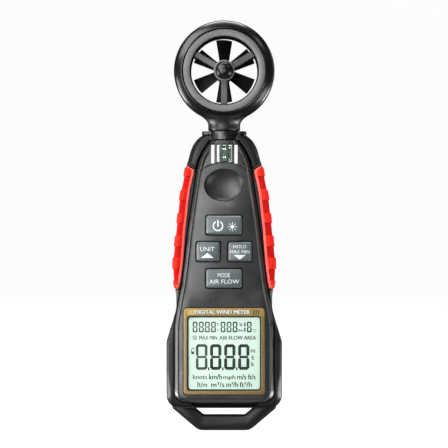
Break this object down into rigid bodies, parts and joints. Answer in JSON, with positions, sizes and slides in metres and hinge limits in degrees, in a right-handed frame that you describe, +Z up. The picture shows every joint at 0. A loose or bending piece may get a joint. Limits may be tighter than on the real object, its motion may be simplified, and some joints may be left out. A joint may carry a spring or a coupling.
{
  "type": "handheld weather meter",
  "caption": "Handheld wind and air meter: a caged vane head swivels on a slim grip housing with a small display, press keys, side grips and a lanyard bar.",
  "frame": {"origin": "middle of the flat foot under the lanyard bar, below the middle of the housing's thickness", "axes": "+Z up the housing's length to the vane head, -Y out of the display and the keys, +X to the right as the display is read"},
  "size_m": [0.051, 0.03, 0.1818],
  "materials": {
    "black_plastic": "fine moulded texture, black",
    "grey_plastic": "fine moulded texture, dark grey",
    "gloss_black": "polished black",
    "guard_grey": "satin mid grey",
    "blade_black": "satin black",
    "red_rubber": "soft-touch bright red",
    "key_grey": "satin blue grey with white legends",
    "gold_trim": "satin gold paint",
    "clear_lens": "clear moulded window",
    "lcd_green": "pale green liquid crystal display",
    "white_plastic": "white moulded",
    "zebra_rubber": "striped connector rubber",
    "pcb_green": "green solder mask",
    "chip_black": "moulded chip body",
    "switch_metal": "plated switch can",
    "steel": "plated steel",
    "bearing_brass": "turned",
    "cell_jacket": "plain blue cell jacket",
    "cable_black": "soft insulation"
  },
  "bodies": {
    "root": {"rear_shell": "black_plastic", "front_shell": "grey_plastic", "side_grip_left": "red_rubber", "side_grip_right": "red_rubber", "neck_collar": "black_plastic", "display_bezel": "gold_trim", "display_lens": "clear_lens", "lcd_panel": "lcd_green", "lcd_holder": "white_plastic", "lcd_backlight": "white_plastic", "zebra_strip": "zebra_rubber", "main_pcb": "pcb_green", "microcontroller": "chip_black", "sensor_pcb": "pcb_green", "air_sensor": "chip_black", "sensor_lead": "cable_black", "body_cable": "cable_black", "key_switch_power": "switch_metal", "key_switch_unit": "switch_metal", "key_switch_hold": "switch_metal", "key_switch_mode": "switch_metal", "case_screw_1": "steel", "case_screw_2": "steel", "case_screw_3": "steel", "case_screw_4": "steel", "battery_cell_1": "cell_jacket", "battery_spring_1": "steel", "battery_contact_1": "steel", "battery_cell_2": "cell_jacket", "battery_spring_2": "steel", "battery_contact_2": "steel", "battery_cell_3": "cell_jacket", "battery_spring_3": "steel", "battery_contact_3": "steel"},
    "head": {"head_housing": "gloss_black", "front_guard": "guard_grey", "rear_guard": "guard_grey", "front_bearing": "bearing_brass", "rear_bearing": "bearing_brass", "front_hub_cap": "gloss_black", "rear_hub_cap": "gloss_black", "blade_sensor": "chip_black", "head_cable": "cable_black", "swivel_clip": "steel"},
    "impeller": {"impeller": "blade_black", "impeller_shaft": "steel"},
    "battery_door": {"battery_door": "black_plastic"},
    "key_power": {"key_power": "key_grey"},
    "key_unit": {"key_unit": "key_grey"},
    "key_hold": {"key_hold": "key_grey"},
    "key_mode": {"key_mode": "key_grey"}
  },
  "joints": [
    {"name": "head_swivel", "type": "hinge", "parent": "root", "child": "head", "pos_m": [0, 0, 0.1326], "axis": [0, 0, 1], "range_deg": [-90, 90]},
    {"name": "impeller_spin", "type": "hinge", "parent": "head", "child": "impeller", "pos_m": [0, 0, 0.1594], "axis": [0, 1, 0], "continuous": true},
    {"name": "battery_door_slide", "type": "slide", "parent": "root", "child": "battery_door", "axis": [0, 0, -1], "range_m": [0, 0.012]},
    {"name": "key_power_press", "type": "slide", "parent": "root", "child": "key_power", "axis": [0, 1, 0], "range_m": [0, 0.0006], "stiffness_N_per_m": 1500, "springref_m": -0.0003},
    {"name": "key_unit_press", "type": "slide", "parent": "root", "child": "key_unit", "axis": [0, 1, 0], "range_m": [0, 0.0006], "stiffness_N_per_m": 1500, "springref_m": -0.0003},
    {"name": "key_hold_press", "type": "slide", "parent": "root", "child": "key_hold", "axis": [0, 1, 0], "range_m": [0, 0.0006], "stiffness_N_per_m": 1500, "springref_m": -0.0003},
    {"name": "key_mode_press", "type": "slide", "parent": "root", "child": "key_mode", "axis": [0, 1, 0], "range_m": [0, 0.0006], "stiffness_N_per_m": 1500, "springref_m": -0.0003}
  ]
}
